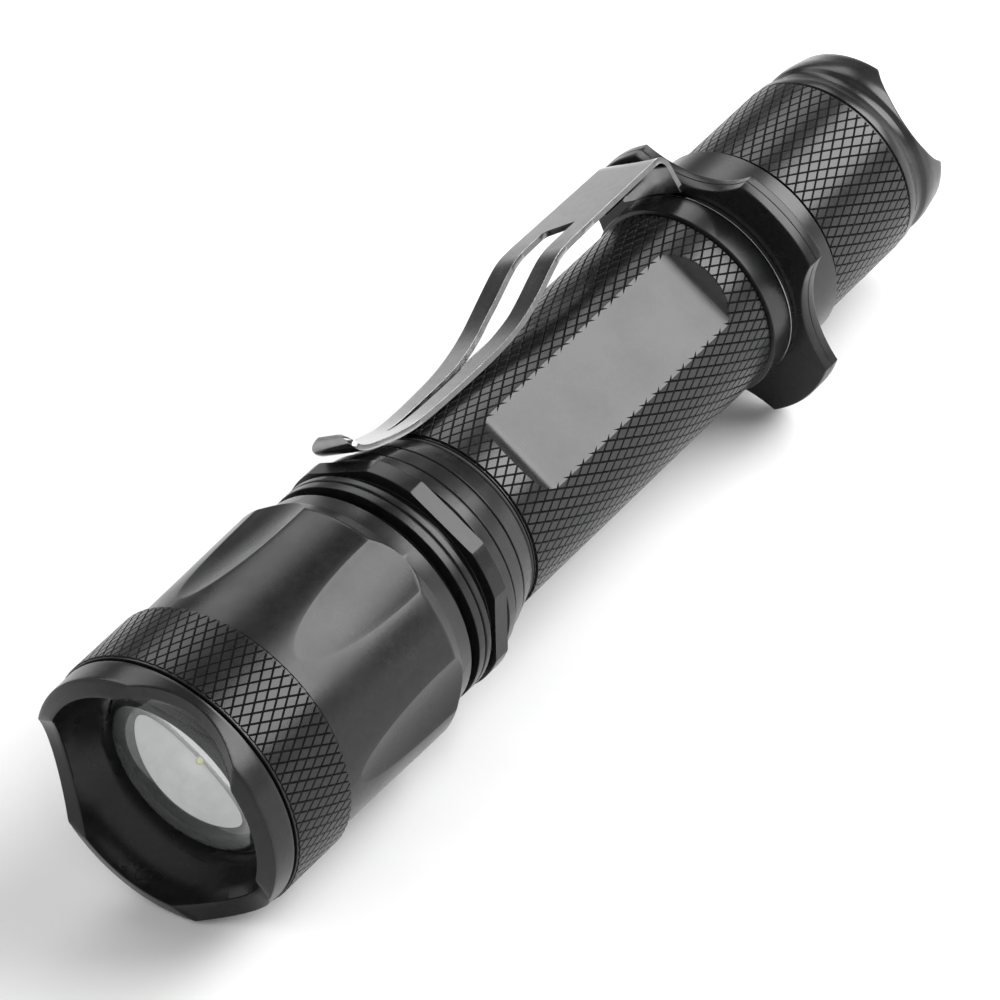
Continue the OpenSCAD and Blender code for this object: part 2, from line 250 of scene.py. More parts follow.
def surface(name, dark, light, rough, grain=900, grit=5200, bump=0.1, lines=0,
            metallic=0.0, coat=0.0, specular=0.5):
    """A finish with mottled colour, patchy roughness and fine grit.

    grain and grit are noise scales. lines, where it is set, adds turning marks of that wave scale.
    """
    material = bpy.data.materials.new(name)
    add, link = node_tools(material)
    place = add("TexCoord").outputs["Object"]

    mottle = add("TexNoise", Scale=grain, Detail=4, Roughness=0.6)
    colour = add("ValToRGB")
    for stop, position, tone in zip(colour.color_ramp.elements, (0.3, 0.7), (dark, light)):
        stop.position = position
        stop.color = (*tone, 1)
    link(place, mottle.inputs["Vector"])
    link(mottle.outputs["Fac"], colour.inputs["Fac"])

    patches = add("TexNoise", Scale=grain / 6, Detail=3, Roughness=0.55)
    spread = add("MapRange", From_Min=0.3, From_Max=0.7, To_Min=rough[0], To_Max=rough[1])
    link(place, patches.inputs["Vector"])
    link(patches.outputs["Fac"], spread.inputs["Value"])

    fine = add("TexNoise", Scale=grit, Detail=2, Roughness=0.5)
    link(place, fine.inputs["Vector"])
    height = fine.outputs["Fac"]
    if lines:
        marks = add("TexWave", Scale=lines, Distortion=0.6, Detail=2, Detail_Scale=1.5,
                    wave_type="BANDS", bands_direction="X")
        mix = add("Math", operation="MULTIPLY_ADD")
        mix.inputs[1].default_value = 0.5
        link(place, marks.inputs["Vector"])
        link(marks.outputs["Fac"], mix.inputs[0])
        link(height, mix.inputs[2])
        height = mix.outputs[0]
    relief = add("Bump", Strength=bump, Distance=0.04 * MM)
    link(height, relief.inputs["Height"])

    shader = add("BsdfPrincipled", Metallic=metallic, Coat_Weight=coat, Coat_Roughness=0.15,
                 Specular_IOR_Level=specular)
    out = add("OutputMaterial")
    link(colour.outputs["Color"], shader.inputs["Base Color"])
    link(spread.outputs["Result"], shader.inputs["Roughness"])
    link(relief.outputs["Normal"], shader.inputs["Normal"])
    link(shader.outputs["BSDF"], out.inputs["Surface"])
    return material


def glass(name):
    """Clear moulded lens with a very faint drifting tint.

    Shadow and diffuse rays go straight through it, so that the pieces behind it are lit.
    """
    material = bpy.data.materials.new(name)
    add, link = node_tools(material)
    place = add("TexCoord")
    drift = add("TexNoise", Scale=60, Detail=1)
    tint = add("ValToRGB")
    tint.color_ramp.elements[0].color = (0.96, 0.98, 1, 1)
    tint.color_ramp.elements[1].color = (0.99, 0.99, 1, 1)
    shader = add("BsdfPrincipled", IOR=1.5, Roughness=0.0, Transmission_Weight=1)
    link(place.outputs["Object"], drift.inputs["Vector"])
    link(drift.outputs["Fac"], tint.inputs["Fac"])
    link(tint.outputs["Color"], shader.inputs["Base Color"])

    rays = add("LightPath")
    pick = add("Math", operation="MAXIMUM")
    through = add("BsdfTransparent")
    mix = add("MixShader")
    out = add("OutputMaterial")
    link(rays.outputs["Is Shadow Ray"], pick.inputs[0])
    link(rays.outputs["Is Diffuse Ray"], pick.inputs[1])
    link(pick.outputs[0], mix.inputs[0])
    link(shader.outputs["BSDF"], mix.inputs[1])
    link(through.outputs["BSDF"], mix.inputs[2])
    link(mix.outputs["Shader"], out.inputs["Surface"])
    return material


anodised = surface("black_anodising", (0.006, 0.006, 0.006), (0.012, 0.012, 0.013), (0.24, 0.32),
                   specular=0.3)
turned_anodising = surface("turned_anodising", (0.005, 0.005, 0.005), (0.010, 0.010, 0.011), (0.24, 0.32),
                           lines=900, specular=0.3)
knurl_anodising = surface("knurled_anodising", (0.006, 0.006, 0.006), (0.012, 0.012, 0.013), (0.24, 0.32),
                          bump=0.08, specular=0.4)
clip_steel = surface("blackened_steel", (0.24, 0.24, 0.24), (0.29, 0.29, 0.29), (0.14, 0.20),
                     grit=7000, metallic=1.0)
rubber = surface("black_rubber", (0.010, 0.010, 0.010), (0.018, 0.018, 0.018), (0.6, 0.75), bump=0.3)
bare_metal = surface("bare_aluminium", (0.82, 0.83, 0.85), (0.90, 0.91, 0.92), (0.12, 0.20),
                     lines=700, metallic=1.0)
white_board = surface("white_board", (0.74, 0.76, 0.74), (0.84, 0.85, 0.83), (0.35, 0.45), bump=0.05)
ceramic = surface("led_ceramic", (0.80, 0.79, 0.70), (0.88, 0.87, 0.78), (0.35, 0.45), bump=0.05)
phosphor = surface("led_silicone", (0.62, 0.66, 0.05), (0.75, 0.78, 0.12), (0.15, 0.25),
                   bump=0.05, coat=0.5)
white_plastic = surface("white_plastic", (0.78, 0.78, 0.76), (0.86, 0.86, 0.84), (0.40, 0.50))
green_board = surface("circuit_board", (0.02, 0.14, 0.05), (0.04, 0.22, 0.08), (0.30, 0.40), grain=1800)
brass = surface("brass_contact", (0.60, 0.40, 0.14), (0.74, 0.52, 0.20), (0.22, 0.34), metallic=1.0)
cell_film = surface("cell_wrap", (0.03, 0.12, 0.40), (0.05, 0.17, 0.48), (0.25, 0.33), bump=0.05, coat=0.3)
nickel = surface("nickel_plate", (0.62, 0.61, 0.58), (0.72, 0.71, 0.68), (0.18, 0.28), metallic=1.0)
black_plastic = surface("black_plastic", (0.012, 0.012, 0.012), (0.020, 0.020, 0.020), (0.45, 0.55),
                        bump=0.2)
clear_glass = glass("lens_glass")

# ---------- knurling ----------

KNURL_PITCH = 2.79     # length of a diamond along the axis
GROOVE_SHARE = 0.11    # half width of a groove, as a share of the spacing
GROOVE_DEPTH = 0.22


def knurl_rod(name, radius, start, end, count, offset=0.0):
    """A closed rod with flat-topped diamonds between V grooves; count diamonds go round it."""
    bm = bmesh.new()
    step = 360 / count
    shrink = 1 - 2 * GROOVE_SHARE
    arms = [(-1, 0), (0, -1), (1, 0), (0, 1)]
    corners = {}

    def spot(height, p, q):
        return at(height, p * step / 2, offset + q * KNURL_PITCH / 2)

    def corner(p, q):
        key = (p % (2 * count), q)
        if key not in corners:
            corners[key] = bm.verts.new(spot(radius - GROOVE_DEPTH, p, q))
        return corners[key]

    first = math.floor(2 * (start - offset) / KNURL_PITCH) - 1
    last = math.ceil(2 * (end - offset) / KNURL_PITCH) + 1
    for q in range(first, last + 1):
        for cell in range(count):
            p = 2 * cell + q % 2
            low = [corner(p + dp, q + dq) for dp, dq in arms]
            high = [bm.verts.new(spot(radius, p + dp * shrink, q + dq * shrink)) for dp, dq in arms]
            crown = bm.verts.new(spot(radius, p, q))
            for k in range(4):
                bm.faces.new((low[k - 1], low[k], high[k], high[k - 1]))
                bm.faces.new((high[k - 1], high[k], crown))
    for station, outward in ((start, 1), (end, -1)):
        plane = at(0, 0, station)
        bmesh.ops.bisect_plane(
            bm, geom=bm.verts[:] + bm.edges[:] + bm.faces[:], dist=WELD, plane_co=plane,
            plane_no=(outward, 0, 0), clear_outer=True)
        rim = [e for e in bm.edges if e.is_boundary
               and all(abs(v.co.x - plane.x) < 10 * WELD for v in e.verts)]
        bmesh.ops.contextual_create(bm, geom=rim)
    bmesh.ops.recalc_face_normals(bm, faces=bm.faces)
    return add_object(name, mesh_from(bm, name))


def rod(name, radius, start, end):
    """A plain closed rod, used as a cutter."""
    rings = [[at(radius, 360 * c / SEGMENTS, s) for c in range(SEGMENTS)] for s in (start, end)]
    return add_object(name, mesh_of(name, loft(rings, closed=False)))


def join(*objects):
    """Joins objects into the first one."""
    bm = bmesh.new()
    for obj in objects:
        bm.from_mesh(obj.data)
    bm.to_mesh(objects[0].data)
    bm.free()
    for obj in objects[1:]:
        bpy.data.objects.remove(obj)
    return objects[0]


# ---------- ribbed and flatted turnings ----------

EDGE_COLUMNS = 7       # columns on each side of a cut's edge, in half a sector
EDGE_GAP = 0.35        # degrees between a cut's edge and the columns beside it
CUT_BLEND = 0.05       # how far a cut's edge is rounded over
UNCUT = 99.0           # a radius beyond everything, where a cut doesn't reach


def sector_columns(edge):
    """Angles across half a sector with columns on both sides of a cut's edge."""
    gap = min(EDGE_GAP, 0.2 * edge)
    near = edge - gap
    far = edge + gap + (0.02 if edge < 0.1 else 0)
    columns = [near * k / EDGE_COLUMNS for k in range(EDGE_COLUMNS + 1)]
    columns += [edge if edge > 0 else 0.01]
    columns += [far + (SECTOR / 2 - far) * k / EDGE_COLUMNS for k in range(EDGE_COLUMNS + 1)]
    return columns


def edge_angle(radius, cut_at, station):
    """Half angle at which a cut leaves the turned surface, found by halving."""
    low, high = 0.0, SECTOR / 2 - 0.5
    if cut_at(0, station) >= radius:
        return 0.0
    for _ in range(40):
        mid = (low + high) / 2
        if cut_at(mid, station) < radius:
            low = mid
        else:
            high = mid
    return low


def cut_turning(outline, cut_at, first_angle):
    """A revolved outline with the same cut repeated round it.

    cut_at(angle from the cut's middle, station) gives the radius of the cut's surface.
    """
    rings = []
    for radius, station in outline:
        columns = sector_columns(edge_angle(radius, cut_at, station))
        half = [(a, soft_min(radius, cut_at(a, station), CUT_BLEND)) for a in columns]
        sector = [(-a, r) for a, r in reversed(half[1:-1])] + half
        ring = []
        for i in range(LOBES):
            ring += [at(r, first_angle + i * SECTOR + a, station) for a, r in sector]
        rings.append(ring)
    return loft(rings)


# ---------- head ----------

BAND_END = 11.0
BAND_R = 19.1
LIP_R = 18.95
LIP_LENGTH = 0.4
HEAD_COUNT = 80        # diamonds round the band
WALL_START = 11.5      # the smooth wall behind the band flares slightly to the rear
WALL_LENGTH = 22.7
WALL_R = 18.25
WALL_FLARE = 0.35
FLUTE_ANGLE = 39
FLUTE_START = 12
FLUTE_END = 38
FLUTE_R = 18.5
FLUTE_DEPTH = 1.12
FLUTE_DEEP_AT = 33.0
FLUTE_RUN = 19.1


def head_line(station):
    """Radius of the smooth head behind its knurled band."""
    return WALL_R + (station - WALL_START) * WALL_FLARE / WALL_LENGTH


def flute_cut(angle, station):
    """Radius of the flute surface, an angle away from the flute's middle."""
    if station < FLUTE_START or station > FLUTE_END:
        return UNCUT
    depth = FLUTE_DEPTH * (1 - ((FLUTE_DEEP_AT - station) / FLUTE_RUN) ** 2)
    middle = head_line(station) - depth + FLUTE_R
    side = middle * math.sin(math.radians(angle))
    if side >= FLUTE_R:
        return UNCUT
    return middle * math.cos(math.radians(angle)) - math.sqrt(FLUTE_R ** 2 - side ** 2)


def head():
    """Sleeve with a knurled band, six flutes and a chamfered rear."""
    nose = [(16.55, 0.0), (18.6, 0.0), (18.6, 10.9), (17.95, 10.95), (17.95, 11.4), (WALL_R, WALL_START)]
    front = rounded(nose, 0.1)[:-ROUND_STEPS - 1]    # the last corner isn't rounded: the wall goes on from it
    wall_stations = [WALL_START + 0.1 + 0.25 * k for k in range(91)]
    walls = [(head_line(s), s) for s in wall_stations]
    chamfer = [(18.6 - 0.5 * (s - 34.2), s) for s in (34.35, 34.6, 34.9, 35.2, 35.5, 35.8, 36.1)]
    rear = [(17.55, 36.3), (17.2, 37.7), (16.92, 39.0), (16.82, 39.1), (15.2, 39.1), (15.05, 38.95),
            (15.05, 35.9), (15.1, 35.8), (15.6, 35.8), (15.6, 8.1), (13.7, 8.1), (13.7, 6.95),
            (14.95, 6.95), (14.95, 4.3), (16.55, 4.3)]
    shell = cut_turning(front + walls + chamfer + rear, flute_cut, FLUTE_ANGLE)
    sleeve = add_object("head_sleeve_turned", mesh_of("head_sleeve_turned", shell))
    band = knurl_rod("band", BAND_R, 0.35, BAND_END - 0.1, HEAD_COUNT)
    cut_away(band, rod("bore", 17.0, -2, BAND_END + 2))
    lips = []
    for s in (0.0, BAND_END - LIP_LENGTH):
        section = [(17.4, s), (LIP_R, s), (LIP_R, s + LIP_LENGTH), (17.4, s + LIP_LENGTH)]
        lips.append(turned(rounded(section, 0.12)))
    ends = add_object("lips", mesh_of("lips", *lips))
    whole = join(sleeve, band, ends)
    finish_piece(whole, anodised, "head", ["head_sleeve"], angle=28)


CROWN_TIP = -5.0
CROWN_R = 18.75
LAND_R = 16.5          # the land is flat inside this radius and chamfered outside it
LAND_RIM = -4.2        # station at which the land's chamfer meets the rim
MOUTH_R = 16.4
SCALLOPS = 3
SCALLOP_ANGLE = 26.3
SCALLOP_R = 15.3
SCALLOP_DEPTH = 3.2
BEZEL_COLUMNS = 360
SKIRT_START = -0.62
FUNNEL_END = 2.7
BEZEL_INSIDE = [(CROWN_TIP, MOUTH_R), (-2.0, 16.1), (FUNNEL_END, 13.5)]


def crown_edge(radius, away):
    """Front station of the crown, an angle away from a scallop's middle.

    It is the later of the chamfered land and the scallop.
    """
    land = CROWN_TIP + (LAND_RIM - CROWN_TIP) * max(radius - LAND_R, 0) / (CROWN_R - LAND_R)
    side = radius * math.sin(math.radians(away))
    if side >= SCALLOP_R:
        return land
    cut = CROWN_TIP + SCALLOP_DEPTH - SCALLOP_R + math.sqrt(SCALLOP_R ** 2 - side ** 2)
    return -soft_min(-cut, -land, 0.12)


def crown_profile(away):
    """Section through the bezel, an angle away from a scallop's middle, as (radius, station) points."""
    rim, mouth = crown_edge(CROWN_R, away), crown_edge(MOUTH_R, away)
    section = [(18.84 - 0.06 * k / 8, SKIRT_START + (rim + 0.2 - SKIRT_START) * k / 8) for k in range(9)]
    section += [(CROWN_R, rim + 0.07), (18.68, rim)]
    section += [(r, crown_edge(r, away)) for r in (18.2, 17.6, 17.0, 16.62)]
    section += [(16.45, mouth + 0.05), (16.39, mouth + 0.25)]
    for k in range(1, 7):
        s = mouth + 0.25 + (FUNNEL_END - mouth - 0.25) * k / 6
        section.append((lerp_table(BEZEL_INSIDE, s), s))
    section += [(13.5, 4.1), (13.6, 4.2), (16.4, 4.2), (16.5, 4.1), (16.5, 0.05), (16.6, -0.01),
                (18.25, -0.01), (18.28, -0.05), (18.3, -0.24), (18.4, -0.27), (18.66, -0.29), (18.8, -0.42)]
    return section


def bezel():
    """Strike bezel: three broad lands between round scallops, and a funnel bore."""
    rings = []
    for step in range(BEZEL_COLUMNS):
        angle = 360 * step / BEZEL_COLUMNS
        section = crown_profile(from_nearest(angle, SCALLOPS))
        rings.append([at(r, SCALLOP_ANGLE + angle, s) for r, s in section])
    piece("strike_bezel_crowned", [loft(rings)], turned_anodising, "head", ["strike_bezel"],
          angle=30)


LENS_FLANGE_R = 14.9
LENS_DOME_R = 13.4
LENS_APEX = -0.35
LENS_FRONT = 4.9
LENS_REAR = 6.9


def lens():
    """Flat-backed glass dome on a thin flange."""
    dome = []
    for k in range(41):
        turn = math.pi / 2 * k / 40
        dome.append((LENS_DOME_R * math.sin(turn), LENS_FRONT - (LENS_FRONT - LENS_APEX) * math.cos(turn)))
    edge = [(LENS_DOME_R + 0.1, LENS_FRONT), (LENS_FLANGE_R - 0.1, LENS_FRONT),
            (LENS_FLANGE_R, LENS_FRONT + 0.1), (LENS_FLANGE_R, LENS_REAR - 0.1),
            (LENS_FLANGE_R - 0.1, LENS_REAR), (12.0, LENS_REAR), (0.0, LENS_REAR)]
    piece("lens_dome", [turned(dome + edge)], clear_glass, "lens_carrier", ["lens"], angle=50)


# ---------- fixed body ----------

FLAT_D = 16.4
FLATS_START = 44.7
FLATS_END = 47.42


def flange_cut(angle, station):
    """Six flats round the neck's rear flange."""
    return FLAT_D / math.cos(math.radians(angle)) if FLATS_START < station < FLATS_END else UNCUT


def neck():
    """Neck with a fin, a six-sided flange and a stepped cone."""
    stem = [(11.3, 19), (13.6, 19), (13.6, 25.8), (15, 25.8), (15, 40.7)]
    fin = [(17, 40.7), (17, 41.9), (16.7, 42), (16.7, 42.2), (17, 42.3), (17, 43.2)]
    flange = [(15.6, 43.2), (15.6, 44.9), (17.3, 44.9), (17.3, 47.4)]
    cone = [(16.2, 47.45), (16.2, 47.7), (16.5, 47.8), (16.1, 49.7), (15.5, 49.8), (15.5, 50.2), (15.7, 50.3),
            (15, 52.9), (14.6, 53), (14.6, 53.2), (14.85, 53.3), (13.8, 56.4), (13.1, 56.4), (13.1, 57.1)]
    bore = [(12.95, 57.1), (12.95, 46.2), (11.3, 46.2)]
    outline = rounded(stem + fin + flange + cone + bore, 0.12)
    piece("neck_turned", [cut_turning(outline, flange_cut, FLUTE_ANGLE)], turned_anodising,
          "body", ["neck_housing"])


TUBE_R = 13.92
TUBE_COUNT = 58        # diamonds round the tube
TUBE_BORE_R = 11.0
KNURL_FRONT = 57.6
KNURL_REAR = 109.9
LABEL_D = 12.35        # height of the label flat over the axis
LABEL_ANGLE = 40.5
LABEL_FRONT = 61.4
LABEL_REAR = 105.7
LABEL_RUN_R = 5.0
LABEL_SIDE = 9
THREAD_START = 118.9
THREAD_TURNS = 7
THREAD_PITCH = 1.0
THREAD_CREST_R = 12.6
THREAD_ROOT_R = 11.95


def label_cutter(angle):
    """The milled label flat: a slab whose ends run out on an arc."""
    depth = TUBE_R - LABEL_D
    run = math.sqrt(2 * LABEL_RUN_R * depth - depth * depth)
    start, end = LABEL_FRONT + run, LABEL_REAR - run
    sweep = math.acos(1 - (depth + 0.4) / LABEL_RUN_R)
    turns = [sweep * k / 8 for k in range(8, 0, -1)]
    arc = [(LABEL_RUN_R * math.sin(a), LABEL_D + LABEL_RUN_R * (1 - math.cos(a))) for a in turns]
    outline = [(start - out, height) for out, height in arc]
    outline += [(start, LABEL_D), (end, LABEL_D)]
    outline += [(end + out, height) for out, height in reversed(arc)]
    outline += [(outline[-1][0], 17.0), (outline[0][0], 17.0)]
    rings = [[across(s, h, side, angle) for s, h in outline] for side in (-LABEL_SIDE, LABEL_SIDE)]
    return add_object("label_cutter", mesh_of("label_cutter", loft(rings, closed=False)))


def tube_rear():
    """Section through the tube's smooth collar and its threaded rear, as (radius, station) points."""
    section = [(TUBE_BORE_R, 109.92), (13.5, 109.92), (13.6, 110.05), (14.4, 110.2), (14.5, 110.3),
               (14.5, 113.75), (14.35, 113.9), (13.3, 113.9), (13.3, 117.8), (13.2, 117.9), (11.9, 117.9)]
    for turn in range(THREAD_TURNS):
        s = THREAD_START + turn * THREAD_PITCH
        section += [(THREAD_ROOT_R, s), (THREAD_CREST_R, s + 0.35), (THREAD_CREST_R, s + 0.5),
                    (THREAD_ROOT_R, s + 0.85)]
    section += [(11.9, 126.0), (12.55, 126.1), (12.55, 126.3), (11.7, 126.35), (11.7, 128.05), (12.55, 128.1),
                (12.6, 129.2), (12.2, 129.6), (11.1, 129.6), (TUBE_BORE_R, 129.5)]
    return section


def tube():
    """Battery tube: knurled grip with two label flats, a smooth collar and a threaded rear."""
    grip = knurl_rod("tube_grip", TUBE_R, KNURL_FRONT, KNURL_REAR, TUBE_COUNT, offset=KNURL_FRONT)
    cut_away(grip, label_cutter(LABEL_ANGLE), label_cutter(LABEL_ANGLE + 180),
             rod("bore", TUBE_BORE_R, KNURL_FRONT - 5, KNURL_REAR + 5))
    spigot = [(TUBE_BORE_R, 47), (12.9, 47), (12.9, 57.2), (13.6, 57.3), (13.6, 57.58), (TUBE_BORE_R, 57.58)]
    ends = add_object("tube_ends", mesh_of("tube_ends", turned(rounded(spigot, 0.1)), turned(tube_rear())))
    whole = join(grip, ends)
    whole.name = "tube_knurled"
    finish_piece(whole, knurl_anodising, "body", ["body_tube"], angle=28)


RING_R = 20.4
RING_FLOOR_R = 16.0
RING_LOBES = 4
RING_HALF = 25         # half angle of a scallop
RING_FRONT = 114.8
RING_REAR = 117.7
RING_BEVEL = 0.3
RING_BORE_R = 13.35


def ring_outline():
    """Outline of the anti-roll ring: lobes between round scallops, as (radius, angle) pairs."""
    half = math.radians(RING_HALF)
    edge_x, edge_y = RING_R * math.cos(half), RING_R * math.sin(half)
    reach = (edge_x ** 2 + edge_y ** 2 - RING_FLOOR_R ** 2) / (2 * (edge_x - RING_FLOOR_R))
    scallop_r = reach - RING_FLOOR_R
    spacing = 360 // RING_LOBES
    points = []
    for lobe in range(RING_LOBES):
        for k in range(-24, 25):
            angle = RING_HALF * k / 24
            side = reach * math.sin(math.radians(angle))
            radius = reach * math.cos(math.radians(angle)) - math.sqrt(scallop_r ** 2 - side ** 2)
            points.append((min(radius, RING_R), lobe * spacing + angle))
        land = spacing - 2 * RING_HALF
        points += [(RING_R, lobe * spacing + RING_HALF + land * k / 20) for k in range(1, 20)]
    return points


def tactical_ring():
    """Anti-roll ring with bevelled edges and a fine line round its rim."""
    outline = ring_outline()
    middle = (RING_FRONT + RING_REAR) / 2
    edge = [(RING_BEVEL, RING_FRONT), (0.09, RING_FRONT + 0.09), (0, RING_FRONT + RING_BEVEL),
            (0, middle - 0.12), (0.1, middle - 0.04), (0.1, middle + 0.04), (0, middle + 0.12),
            (0, RING_REAR - RING_BEVEL), (0.09, RING_REAR - 0.09), (RING_BEVEL, RING_REAR)]
    bore = [(RING_BORE_R + 0.2, RING_REAR), (RING_BORE_R, RING_REAR - 0.2), (RING_BORE_R, RING_FRONT + 0.2),
            (RING_BORE_R + 0.2, RING_FRONT)]
    rings = [[at(r - inset, a, station) for r, a in outline] for inset, station in edge]
    rings += [[at(radius, a, station) for _, a in outline] for radius, station in bore]
    piece("anti_roll_ring", [loft(rings)], turned_anodising, "body", ["tactical_ring"], angle=38)


# ---------- clip ----------

CLIP_ANGLE = -25
CLIP_T = 0.8
CLIP_W = 6.1           # half width at the widest
CLIP_ROOT_W = 5.55     # half width at the root
CLIP_TOP = 19.7        # height of the straight stretch at the root
CLIP_BEND_R = 1.6
BEND_START = 112.8
# Middle of the strap's sheet: station, height over the axis, half width
STRAP_LINE = [(47.75, 20.2, 1.9), (47.45, 19.7, 3.1), (47.35, 19.0, 3.9), (47.55, 18.3, 4.05),
              (48.2, 17.6, 4.05), (49.4, 16.95, 4.05), (51.2, 16.35, 4), (53.2, 15.72, 3.85),
              (55.3, 15.18, 3.75), (57.4, 14.8, 3.7), (60, 14.6, 3.75), (64, 14.55, 3.95), (70, 14.6, 4.3),
              (75, 15.0, 5.05), (79, 15.7, 5.65), (83, 16.9, 6.1), (88, 18.8, CLIP_W), (90.5, 19.55, 6.08),
              (93, CLIP_TOP, 6.02), (97, CLIP_TOP, 5.9)]
# The slot's two edges: station, sideways offset
SLOT_START, SLOT_END = 56, 98.3
SLOT_HALF = 2.4
SLOT_FAR = [(SLOT_START, -0.3), (62, -0.6), (72, -0.9), (81, -SLOT_HALF), (96.6, -SLOT_HALF), (SLOT_END, 2.1)]
SLOT_NEAR = [(SLOT_START, 0.3), (62, 0.6), (72, 0.9), (81, SLOT_HALF), (SLOT_END, SLOT_HALF)]


def smooth_line(points, rounds):
    """Corner cutting, which rounds the bends of a line."""
    for _ in range(rounds):
        out = [points[0]]
        for here, there in zip(points, points[1:]):
            out += [tuple(a + (b - a) * share for a, b in zip(here, there)) for share in (0.25, 0.75)]
        points = out + [points[-1]]
    return points


def clip_line():
    """Middle of the whole sheet, from the lip to the foot of its bent root."""
    line = smooth_line(STRAP_LINE, 2)
    line += [(s, CLIP_TOP, 5.9 - 0.35 * (s - 97) / 15) for s in (97.6, 98.3, 100, 103, 106, 109, 112.0)]
    for k in range(7):
        turn = math.radians(15 * k)
        drop = CLIP_BEND_R * (1 - math.cos(turn))
        line.append((BEND_START + CLIP_BEND_R * math.sin(turn), CLIP_TOP - drop, CLIP_ROOT_W))
    line += [(BEND_START + CLIP_BEND_R, h, CLIP_ROOT_W) for h in (17, 16, 15, 14.2)]
    return line


def clip_sheet():
    """The bent sheet with its slot, given its thickness and softened edges."""
    line = clip_line()
    bm = bmesh.new()
    rows = []
    for s, h, half in line:
        far, near = -SLOT_HALF, SLOT_HALF
        if s < SLOT_END + 0.1:
            far, near = lerp_table(SLOT_FAR, s), lerp_table(SLOT_NEAR, s)
        bow = 0.25 * half if s > 52 else 0.15 * half
        sides = [-half, -half + bow, (-half + far) / 2, far, near, (half + near) / 2, half - bow, half]
        rows.append([bm.verts.new(across(s, h, t, CLIP_ANGLE)) for t in sides])
    for i in range(len(rows) - 1):
        s = (line[i][0] + line[i + 1][0]) / 2
        for c in range(7):
            if c == 3 and SLOT_START < s < SLOT_END:
                continue
            bm.faces.new((rows[i][c], rows[i][c + 1], rows[i + 1][c + 1], rows[i + 1][c]))
    bmesh.ops.recalc_face_normals(bm, faces=bm.faces)
    sheet = add_object("spring_clip", mesh_from(bm, "spring_clip"))
    thick = sheet.modifiers.new("sheet", "SOLIDIFY")
    thick.thickness = CLIP_T * MM
    thick.offset = 0
    soften = sheet.modifiers.new("edges", "BEVEL")
    soften.width = 0.16 * MM
    soften.segments = 3
    soften.limit_method = "ANGLE"
    soften.angle_limit = math.radians(50)
    apply_modifiers(sheet)
    return sheet


def clip_foot():
    """The washer that the ring clamps, and the flange that joins it to the sheet."""
    washer = turned(rounded([(13.4, 114.0), (14.5, 114.0), (14.5, 114.78), (13.4, 114.78)], 0.12))
    corners = [(109.3, 14.9), (113.95, 14.9), (113.95, 18.9), (112.6, 19.25), (109.3, 19.25)]
    outline = rounded(corners, 0.3)
    sides = (-CLIP_ROOT_W, -CLIP_ROOT_W + CLIP_T)
    rings = [[across(s, h, side, CLIP_ANGLE) for s, h in outline] for side in sides]
    return add_object("clip_foot", mesh_of("clip_foot", washer, loft(rings, closed=False)))


def clip():
    """Spring clip: one bent sheet with a long slot, on a washer that the ring clamps."""
    whole = join(clip_sheet(), clip_foot())
    finish_piece(whole, clip_steel, None, ["clip_base", "clip_strap"], angle=40)
    apply_modifiers(whole)
    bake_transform(whole)


# ---------- tail ----------

CAP_R = 14.15
CAP_FRONT = 125.2
CAP_REAR = 142.6
TAIL_COUNT = 59        # diamonds round the cap
CAP_BORE_R = 12.7
THUMBS = 2
THUMB_ANGLE = 56
THUMB_R = 9.2
THUMB_FLOOR = 148.0
TAIL_END = 152.3
TAIL_COLUMNS = 240
RECESS_R = 10.8
STEP_END = 147.7       # the crown's plain skirt starts behind its step
CROWN_OUTSIDE = [(144.5, 13.92), (146.0, 13.25), (147.0, 13.25), (147.6, 13.7), (149.0, 13.7),
                 (TAIL_END, 13.05)]


def thumb_edge(radius, away):
    """Rear station of the tail crown, an angle away from a thumb scallop's middle."""
    side = radius * math.sin(math.radians(away))
    if side >= THUMB_R:
        return TAIL_END
    return soft_min(TAIL_END, THUMB_FLOOR + THUMB_R - math.sqrt(THUMB_R ** 2 - side ** 2), 0.25)


def tail_profile(away):
    """Section through the crown, an angle away from a thumb scallop's middle, as (radius, station) points."""
    outer_end, inner_end = thumb_edge(13.3, away), thumb_edge(RECESS_R, away)
    stations = [144.5, 145.2, 145.95, 146.1, 146.9, 147.1, 147.5, STEP_END]
    stations += [STEP_END + (outer_end - 0.25 - STEP_END) * k / 6 for k in range(1, 7)]
    rear_r = lerp_table(CROWN_OUTSIDE, outer_end)
    section = [(CAP_R - 0.4, 142.62), (CAP_R - 0.4, 143.05), (CAP_R - 0.12, 143.2), (CAP_R - 0.12, 144.3)]
    section += [(lerp_table(CROWN_OUTSIDE, s), s) for s in stations]
    section += [(rear_r - 0.07, outer_end - 0.07), (rear_r - 0.25, outer_end)]
    section += [(RECESS_R + 0.25, inner_end), (RECESS_R + 0.07, inner_end - 0.07)]
    section += [(RECESS_R, inner_end - 0.25), (RECESS_R, 145.75), (RECESS_R - 0.15, 145.6), (8.55, 145.6),
                (8.4, 145.45), (8.4, 144.0), (8.5, 143.9), (CAP_BORE_R, 143.9), (CAP_BORE_R, 142.62)]
    return section


def tail_crown():
    """Rear of the tail cap: a stepped crown round the switch recess, with two thumb scallops."""
    rings = []
    for step in range(TAIL_COLUMNS):
        angle = 360 * step / TAIL_COLUMNS
        section = tail_profile(from_nearest(angle, THUMBS))
        rings.append([at(r, THUMB_ANGLE + angle, s) for r, s in section])
    return loft(rings)


